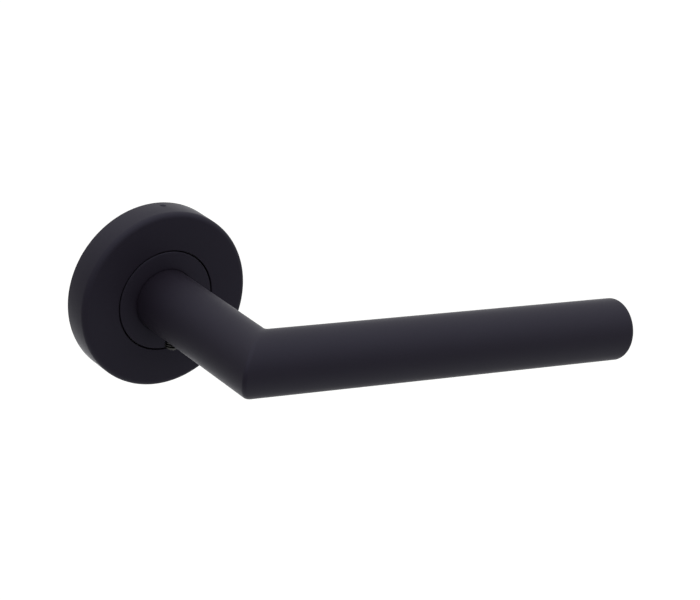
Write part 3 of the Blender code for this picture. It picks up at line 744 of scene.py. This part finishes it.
def spring_housing():
    """Inner disc, flush with the cover: the front of the spring's housing, with two screwed ears and two
    stops for the driver inside."""
    lip_radius = bar_radius + NECK_GROOVE
    lip_arc = arc(LIP_DEPTH, math.pi, math.pi / 2, (LIP_DEPTH, rose_depth - LIP_DEPTH))
    lip = [(lip_radius + x * LIP_ROUND / LIP_DEPTH, z) for x, z in lip_arc]
    profile = [
        *lip,
        (disc_radius - DISC_CHAMFER, rose_depth),
        (disc_radius, rose_depth - DISC_CHAMFER),
        (disc_radius, housing_low.z),
        (cup_radius, housing_low.z),
        (cup_radius, tube_low.z),
        (counterbore, tube_low.z),
        (counterbore, rose_depth - HOUSING_LIP),
        (lip_radius, rose_depth - HOUSING_LIP),
    ]
    round_end = arc(EAR_RADIUS, -math.pi / 2, math.pi / 2, (ear_offset, 0), 2 * ARC_STEPS)
    edge = [(wall_middle, -EAR_RADIUS), *round_end, (wall_middle, EAR_RADIUS)]
    foot = housing_low.z + EAR_RELIEF
    top = housing_low.z + EAR_THICKNESS
    hole = shifted(drill(EAR_SCREW_RADIUS + REST_GAP, foot, top, EDGE_BREAK), ear_offset, 0, 0)
    ear = boolean(plate(edge, foot, top), "DIFFERENCE", hole)
    clear = WING_HALF_ANGLE + REST_GAP / boss_radius
    lugs = []
    for start in (wing_angle + clear, wing_angle - LEVER_TURN - clear - STOP_ANGLE):
        outline = sector(counterbore + REST_GAP, wall_middle, start, start + STOP_ANGLE)
        lugs.append(plate(outline, driver_low.z, tube_low.z + LUG_ROOT))
    mesh = boolean(turned(softened(profile)), "UNION", around(ear, 2), *lugs)
    dress("inner_disc_housing", mesh, coat, "black_coat", "rose_base", "spring_housing")


def base_plate():
    """Die-cast plate on the door: rim with a seal groove, spring trough, bearing boss, stiffening ribs on
    its floor, two spigots for the fixings, and the marks of ejector pins on its back."""
    rim_outer = base_high.x
    rim_inner = rim_outer - RIM_WIDTH
    seal_middle = (seal_low.z + seal_high.z) / 2
    seal_half = SEAL_DIAMETER / 2 + SEAL_GAP
    seal_groove = seal_high.x - SEAL_DIAMETER - SEAL_GAP
    recess = rear_bore + BACK_RECESS_MARGIN
    profile = [
        (rim_inner, base_high.z),
        (rim_outer, base_high.z),
        (rim_outer, seal_middle + seal_half),
        (seal_groove, seal_middle + seal_half),
        (seal_groove, seal_middle - seal_half),
        (rim_outer, seal_middle - seal_half),
        (rim_outer, 0),
        (recess, 0),
        (recess, BACK_RECESS),
        (rear_bore, BACK_RECESS),
        (rear_bore, rear_bush_high.z),
        (boss_radius, rear_bush_high.z),
        (boss_radius, TROUGH_WEB),
        (cup_radius, TROUGH_WEB),
        (cup_radius, BASE_FLOOR),
        (rim_inner, BASE_FLOOR),
    ]
    hole = FIXING_RADIUS + REST_GAP
    spigot_radius = hole + SPIGOT_WALL
    root = BASE_FLOOR / 2
    spigot = [(0, root), (spigot_radius, root), (spigot_radius, base_low.z), (0, base_low.z)]
    spigots = shifted(turned(softened(spigot, CAST_EDGE), SMALL_STEPS), 0, fixing_offset, 0)
    rib_start = disc_radius + REST_GAP
    rib_end = rim_inner + RIM_WIDTH / 2
    rib = [(0, rib_end), (RIB_RADIUS, rib_end), (RIB_RADIUS, rib_start), (0, rib_start)]
    along_x = Matrix.Rotation(math.pi / 2, 4, "Y")
    lying = moved(turned(softened(rib, CAST_EDGE), SMALL_STEPS), along_x)
    ribs = shifted(lying, 0, 0, BASE_FLOOR - RIB_SINK)
    mesh = boolean(
        turned(softened(profile, CAST_EDGE)),
        "UNION",
        around(spigots, 2),
        around(ribs, RIB_COUNT, math.pi / RIB_COUNT),
    )
    slot_half = DIMPLE_RADIUS + REST_GAP
    slot_inner = cover_inner - DIMPLE_DEPTH - REST_GAP
    slot_corners = [(slot_half, slot_inner), (slot_half, rim_outer + CUT)]
    slot = slot_corners + [(-x, y) for x, y in slot_corners[::-1]]
    leg_angle = coil_start + leg_lead
    leg_place = (leg_radius * math.cos(leg_angle), leg_radius * math.sin(leg_angle), 0)
    mark = [(0, PIN_MARK_DEPTH), (PIN_MARK_RADIUS, PIN_MARK_DEPTH), (PIN_MARK_RADIUS, -CUT), (0, -CUT)]
    pin_mark = shifted(turned(mark, SMALL_STEPS), (cup_radius + rim_inner) / 2, 0, 0)
    mesh = boolean(
        mesh,
        "DIFFERENCE",
        around(shifted(drill(hole, base_low.z, BASE_FLOOR), 0, fixing_offset, 0), 2),
        around(shifted(drill(EAR_SCREW_RADIUS + REST_GAP, 0, BASE_FLOOR), ear_offset, 0, 0), 2),
        around(loft(slot, slot, DIMPLE_HEIGHT - slot_half, base_high.z + CUT), 2, DIMPLE_TURN),
        shifted(drill(leg_hole, 0, TROUGH_WEB, EDGE_BREAK), *leg_place),
        around(pin_mark, PIN_MARK_COUNT, math.pi / PIN_MARK_COUNT),
    )
    dress("die_cast_base", mesh, casting, "zinc_casting", "rose_base", "base_plate")


def cover_seal():
    """Rubber ring that grips the cover on the base plate's rim."""
    middle = (seal_high.x - SEAL_DIAMETER / 2, (seal_low.z + seal_high.z) / 2)
    mesh = turned(circle(SEAL_DIAMETER / 2, middle, 2 * ARC_STEPS)[::-1])
    dress("cover_seal_ring", mesh, rubber, "black_rubber", "rose_base", "cover_o_ring")


def cross_outline(width, length):
    """Outline of a cross recess, from the width of its arms and its length from end to end."""
    half = width / 2
    return four_turns([(length / 2, -half), (length / 2, half), (half, half)])


def pan_head_screw(radius, head_height, pitch, low, high):
    """Screw along z through the middle of its CAD box: threaded shank, domed head and tapered cross
    recess."""
    head = (high.x - low.x) / 2
    seat = high.z - head_height
    dome_radius = head_height * HEAD_ROUND
    dome = arc(dome_radius, math.pi / 2, 0, (head - dome_radius, high.z - dome_radius))
    profile = softened([(0, high.z), *dome, (head, seat), (0, seat)])
    shank = threaded_shank(radius, low.z, seat + head_height / 3, pitch, radius / 4, plating)
    mesh = boolean(turned(profile, SMALL_STEPS), "UNION", shank)
    mouth = cross_outline(radius * RECESS_MOUTH[0], head * RECESS_MOUTH[1])
    floor = cross_outline(radius * RECESS_FLOOR[0], head * RECESS_FLOOR[1])
    recess = loft(floor, mouth, high.z - head_height / 2, high.z + EDGE_BREAK)
    return boolean(mesh, "DIFFERENCE", moved(recess, Matrix.Rotation(RECESS_TURN, 4, "Z")))


def screws():
    """Two fixings through the door and two short screws through the housing's ears."""
    fixing = pan_head_screw(FIXING_RADIUS, FIXING_HEAD, FIXING_PITCH, fixing_low, fixing_high)
    ear_screw = pan_head_screw(
        EAR_SCREW_RADIUS, EAR_SCREW_HEAD, EAR_SCREW_PITCH, ear_screw_low, ear_screw_high
    )
    for node, mesh in (
        ("fixing_screw_upper", fixing),
        ("fixing_screw_lower", fixing),
        ("housing_screw_left", ear_screw),
        ("housing_screw_right", ear_screw),
    ):
        low, high = rose_box(node)
        middle = (low + high) / 2
        placed = shifted(mesh.copy(), middle.x, middle.y, 0)
        dress(node + "_threaded", placed, plating, "zinc_plate", "rose_base", node)


def turned_rings():
    """Two bushes and a slip washer of plastic, and the steel thrust washer."""
    bores = {"neck_bush": bar_radius + RUN_GAP}
    for node in ("neck_bush", "rear_bush", "driver_washer", "thrust_washer"):
        low, high = rose_box(node)
        bore = bores.get(node, running_bore)
        profile = [(bore, high.z), (high.x, high.z), (high.x, low.z), (bore, low.z)]
        mesh = turned(softened(profile))
        if node == "thrust_washer":
            dress("thrust_washer_steel", mesh, steel, "bare_steel", "rose_base", node)
        else:
            dress(node + "_moulded", mesh, acetal, "acetal", "rose_base", node)


def spring_path():
    """Wire's centre line: the fixed leg, a bend, the coil winding clockwise outwards, a bend and the moving
    leg."""
    steps = round(COIL_STEPS * (coil_start - coil_end) / (2 * math.pi))
    coil = []
    for i in range(steps + 1):
        angle = coil_start + (coil_end - coil_start) * i / steps
        height = coil_bottom + (coil_top - coil_bottom) * i / steps
        coil.append(Vector((coil_radius * math.cos(angle), coil_radius * math.sin(angle), height)))

    def leg(angle, end, way, reach):
        """Bend from the coil's end to the z direction, then the straight leg."""
        ahead = Vector((math.sin(angle), -math.cos(angle), 0)) * way
        upward = Vector((0, 0, way))
        bends = [math.pi / 2 * i / ARC_STEPS for i in range(1, ARC_STEPS + 1)]
        ways = [math.sin(bend) * ahead + (1 - math.cos(bend)) * upward for bend in bends]
        points = [end + SPRING_BEND * bend_way for bend_way in ways]
        return points + [Vector((points[-1].x, points[-1].y, reach))]

    fixed = leg(coil_start, coil[0], -1, spring_low.z)
    moving = leg(coil_end, coil[-1], 1, spring_high.z)
    return fixed[::-1] + coil + moving


def return_spring():
    """Torsion spring between the base plate and the lever. It is one fixed mesh on no body, and does not
    twist.
    """
    path = spring_path()
    chain = bpy.data.meshes.new("path")
    chain.from_pydata(path, [(i, i + 1) for i in range(len(path) - 1)], [])
    mesh = grown(wires, chain, {"Radius": SPRING_WIRE / 2, "Finish": wire})
    piece = finished("return_spring_wire", mesh, wire, "spring_steel", "return_spring")
    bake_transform(piece)


def spring_driver():
    """Stamped plate keyed to the hub, with a wing that takes the spring's moving leg and runs between
    stops."""
    start = wing_angle - WING_HALF_ANGLE
    end = wing_angle + WING_HALF_ANGLE
    wing_radius = cup_radius - REST_GAP
    body = arc(boss_radius, end, start + 2 * math.pi, steps=SMALL_STEPS)
    outline = arc(wing_radius, start, end) + body
    flat = key_flat + REST_GAP
    reach = math.asin(flat / (hub_radius + REST_GAP))
    key = arc(hub_radius + REST_GAP, -reach, reach, steps=SMALL_STEPS // 2)
    key += [(-x, -y) for x, y in key]
    leg_place = (leg_radius * math.cos(wing_angle), leg_radius * math.sin(wing_angle), 0)
    mesh = boolean(
        plate(outline, driver_low.z, driver_high.z),
        "DIFFERENCE",
        loft(key, key, driver_low.z - CUT, driver_high.z + CUT),
        shifted(drill(leg_hole, driver_low.z, driver_high.z, EDGE_BREAK), *leg_place),
    )
    dress("stamped_driver", mesh, plating, "zinc_plate", "lever", "spring_driver")


def lever_bar():
    """Neck and grip, mitred at 90 degrees and ground to one soft skin, with the tip's plug welded in and
    dressed flush. Each line of the neck's skin bends into the line of the grip's skin that it meets."""
    bends = [math.pi / 2 * i / (2 * ARC_STEPS) for i in range(2 * ARC_STEPS + 1)]
    shape = bmesh.new()

    def skin(radius, grip_stops):
        """Rings from the neck's root to the last stop along the grip. A stop is a place and a radius."""
        rings = [[] for _ in range(1 + len(bends) + len(grip_stops))]
        for across, up in circle(1, steps=TURN_STEPS):
            rings[0].append((radius * across, radius * up, tube_low.z))
            for ring, bend in zip(rings[1:], bends):
                x = radius * across + MITRE_FILLET * (1 - math.cos(bend))
                z = grip_axis - radius * across - MITRE_FILLET * (1 - math.sin(bend))
                ring.append((x, radius * up, z))
            for ring, (place, size) in zip(rings[1 + len(bends) :], grip_stops):
                ring.append((place, size * up, grip_axis - size * across))
        return [[shape.verts.new(point) for point in ring] for ring in rings]

    tip = arc(TIP_RADIUS, 0, math.pi / 2, (bar_radius - TIP_RADIUS, grip_end - TIP_RADIUS))
    outer = skin(bar_radius, [(place, size) for size, place in tip])
    inner = skin(bore_radius, [(cap_low.x, bore_radius)])
    for rings_of_skin in (outer, inner):
        for ring, following in zip(rings_of_skin, rings_of_skin[1:]):
            for i in range(TURN_STEPS):
                j = (i + 1) % TURN_STEPS
                shape.faces.new((ring[i], ring[j], following[j], following[i]))
        shape.faces.new(rings_of_skin[-1])
    for i in range(TURN_STEPS):
        j = (i + 1) % TURN_STEPS
        shape.faces.new((outer[0][i], outer[0][j], inner[0][j], inner[0][i]))
    hole = moved(drill(grub_radius + REST_GAP, bore_radius - CUT, bar_radius), DOWNWARD)
    mesh = boolean(mesh_of(shape, "lever_bar"), "DIFFERENCE", shifted(hole, 0, 0, grub_height))
    dress("lever_bar", mesh, coat, "black_coat", "lever", "lever_tube", "end_cap")


def neck_hub():
    """Turned hub in the neck: spindle socket, key flats for the driver, rear journal and ring groove."""
    groove_top = ring_high.z + RING_SIDE_GAP
    groove_bottom = ring_low.z - RING_SIDE_GAP
    profile = [
        (0, hub_high.z),
        (hub_radius, hub_high.z),
        (hub_radius, driver_low.z),
        (journal_radius, driver_low.z),
        (journal_radius, groove_top),
        (ring_groove, groove_top),
        (ring_groove, groove_bottom),
        (journal_radius, groove_bottom),
        (journal_radius, hub_low.z),
        (0, hub_low.z),
    ]
    socket = chamfered_square(spindle_side + 2 * REST_GAP)
    flat_corners = [(hub_radius, key_flat), (hub_radius, hub_radius + CUT)]
    flat = flat_corners + [(-x, y) for x, y in flat_corners[::-1]]
    thread = moved(drill(grub_radius + REST_GAP, spindle_side / 4, hub_radius), DOWNWARD)
    mesh = boolean(
        turned(softened(profile)),
        "DIFFERENCE",
        loft(socket, socket, hub_low.z - CUT, spindle_high.z + REST_GAP),
        around(loft(flat, flat, driver_low.z - CUT, driver_high.z + REST_GAP / 2), 2),
        shifted(thread, 0, 0, grub_height),
    )
    dress("turned_hub", mesh, steel, "bare_steel", "lever", "neck_insert")


def grub_screw():
    """Socket screw under the neck, its threaded end standing proud of the bar."""
    length = grub_high.y - grub_low.y
    shank = threaded_shank(grub_radius, 0, length, GRUB_PITCH, GRUB_CHAMFER, blackened)
    corner = GRUB_SOCKET / 2 / math.cos(math.pi / HEX_SIDES)
    floor = length - GRUB_SOCKET_DEPTH
    socket = [(0, length + CUT), (corner, length + CUT), (corner, floor), (0, floor - corner / 2)]
    mesh = moved(boolean(shank, "DIFFERENCE", turned(socket, HEX_SIDES)), DOWNWARD)
    shifted(mesh, 0, grub_high.y, grub_height)
    dress("socket_grub_screw", mesh, blackened, "spring_steel", "lever", "grub_screw")


def spindle():
    """Drawn square bar with broken corners, chamfered ends and the drilled spot where the grub screw
    bites."""
    outline = chamfered_square(spindle_side)
    bar = broken(plate(outline, spindle_low.z, spindle_high.z, SPINDLE_END), EDGE_BREAK, SMOOTH_ANGLE)
    face = spindle_side / 2
    floor = face - GRUB_SPOT_DEPTH
    hole = grub_radius + REST_GAP
    spot = turned([(0, face + CUT), (hole, face + CUT), (hole, floor), (0, floor)], SMALL_STEPS)
    mesh = boolean(bar, "DIFFERENCE", shifted(moved(spot, DOWNWARD), 0, 0, grub_height))
    dress("square_spindle", mesh, plating, "zinc_plate", "lever", "spindle")


def retaining_ring():
    """Open spring ring in the hub's groove, with a hole for the pliers at each end."""
    inner = ring_groove + REST_GAP
    start = (RING_OPENING - math.pi) / 2
    outline = sector(inner, inner + RING_WIDTH, start, start + 2 * math.pi - RING_OPENING)
    middle = inner + RING_WIDTH / 2
    holes = []
    for angle in (start, math.pi - start):
        inward = angle + math.copysign(RING_WIDTH / 2 / middle, math.cos(angle))
        place = (middle * math.cos(inward), middle * math.sin(inward), 0)
        holes.append(shifted(drill(RING_LUG_HOLE, ring_low.z, ring_high.z, EDGE_BREAK), *place))
    mesh = boolean(plate(outline, ring_low.z, ring_high.z), "DIFFERENCE", *holes)
    dress("open_retaining_ring", mesh, blackened, "spring_steel", "lever", "retaining_ring")


def make_camera():
    """Camera that matches the photograph."""
    data = bpy.data.cameras.new("camera")
    data.lens = CAMERA_LENS
    data.sensor_width = SENSOR_WIDTH
    data.sensor_fit = "HORIZONTAL"
    camera = bpy.data.objects.new("camera", data)
    bpy.context.scene.collection.objects.link(camera)
    heading = Matrix.Rotation(-math.radians(CAMERA_HEADING), 4, "Z")
    fall = Matrix.Rotation(math.radians(90 - CAMERA_FALL), 4, "X")
    roll = Matrix.Rotation(math.radians(CAMERA_ROLL), 4, "Z")
    camera.matrix_world = Matrix.Translation(CAMERA_PLACE) @ heading @ fall @ roll
    bpy.context.scene.camera = camera


def make_floor():
    """Pale paper well below the rose. It is plain to the camera, and lights nothing."""
    dull = {"Roughness": 0.9, "Specular IOR Level": 0.1}
    material, tree, shader, place = new_material("pale_paper", dull)
    paint(tree, shader, noise(tree, place, size=0.02, detail=2), "#eeeeec", "#f2f2f0")
    shader["Emission Color"].default_value = (1, 1, 1, 1)
    seen = add_node(tree, "ShaderNodeLightPath")["Is Camera Ray"]
    tree.links.new(ranged(tree, seen, low=0.0, high=PAPER_GLOW), shader["Emission Strength"])
    shape = bmesh.new()
    bmesh.ops.create_circle(shape, cap_ends=True, segments=SMALL_STEPS, radius=FLOOR_RADIUS)
    floor = bpy.data.objects.new("paper_floor", mesh_of(shape, "paper_floor"))
    floor.data.transform(Matrix.Translation((0, 0, -FLOOR_DROP)))
    floor.data.materials.append(material)
    floor.visible_diffuse = False
    floor.visible_glossy = False
    floor.visible_shadow = False
    bpy.context.scene.collection.objects.link(floor)


def make_world():
    """White tent, brightest overhead, with glows from the paper sweep behind, a fill low in front and the
    table. The camera sees plain white, and glossy rays see the white backdrop where it stands, so that
    metal and the coat's edges show it too."""
    world = bpy.data.worlds.new("white_tent")
    bpy.context.scene.world = world
    world.use_nodes = True
    tree = world.node_tree
    background = tree.nodes["Background"].inputs
    background["Color"].default_value = (1, 1, 1, 1)
    way = add_node(tree, "ShaderNodeTexCoord")["Generated"]
    height = add_node(tree, "ShaderNodeSeparateXYZ", {0: way})["Z"]
    room = ranged(tree, height, low=TENT_LEVEL, high=TENT_LEVEL + TENT_TOP)
    path = add_node(tree, "ShaderNodeLightPath")
    glossy = path["Is Glossy Ray"]
    glows = [(SWEEP_GLOW, 1.0), (FILL_GLOW, 1.0), (TABLE_GLOW, 1.0), (BACKDROP_GLOW, glossy)]
    for (level, toward, narrowness), share in glows:
        ways = {0: way, 1: toward}
        facing = add_node(tree, "ShaderNodeVectorMath", ways, operation="DOT_PRODUCT")["Value"]
        lit = ranged(tree, facing, low=0.0, high=level ** (1 / narrowness))
        glow = add_node(tree, "ShaderNodeMath", {0: lit, 1: narrowness}, operation="POWER")[0]
        room = add_node(tree, "ShaderNodeMath", {0: glow, 1: share, 2: room}, operation="MULTIPLY_ADD")[0]
    plain_rays = {0: path["Is Camera Ray"], 1: path["Is Transmission Ray"]}
    white = add_node(tree, "ShaderNodeMath", plain_rays, operation="MAXIMUM")[0]
    strength = add_node(tree, "ShaderNodeMix", {0: white, 2: room, 3: 1.0})[0]
    tree.links.new(strength, background["Strength"])


coat = matt_black_electrocoat()
blackened = black_oxide_steel()
casting = die_cast_zinc()
plating = bright_zinc_plate()
steel = turned_steel()
wire = oil_tempered_wire()
acetal = moulded_acetal()
rubber = nitrile_rubber()
rings = ring_tree()
threads = thread_tree()
wires = wire_tree()
rose_cover()
spring_housing()
base_plate()
cover_seal()
screws()
turned_rings()
return_spring()
spring_driver()
lever_bar()
neck_hub()
grub_screw()
spindle()
retaining_ring()
make_camera()
make_floor()
make_world()
bpy.context.scene.view_settings.view_transform = "Standard"
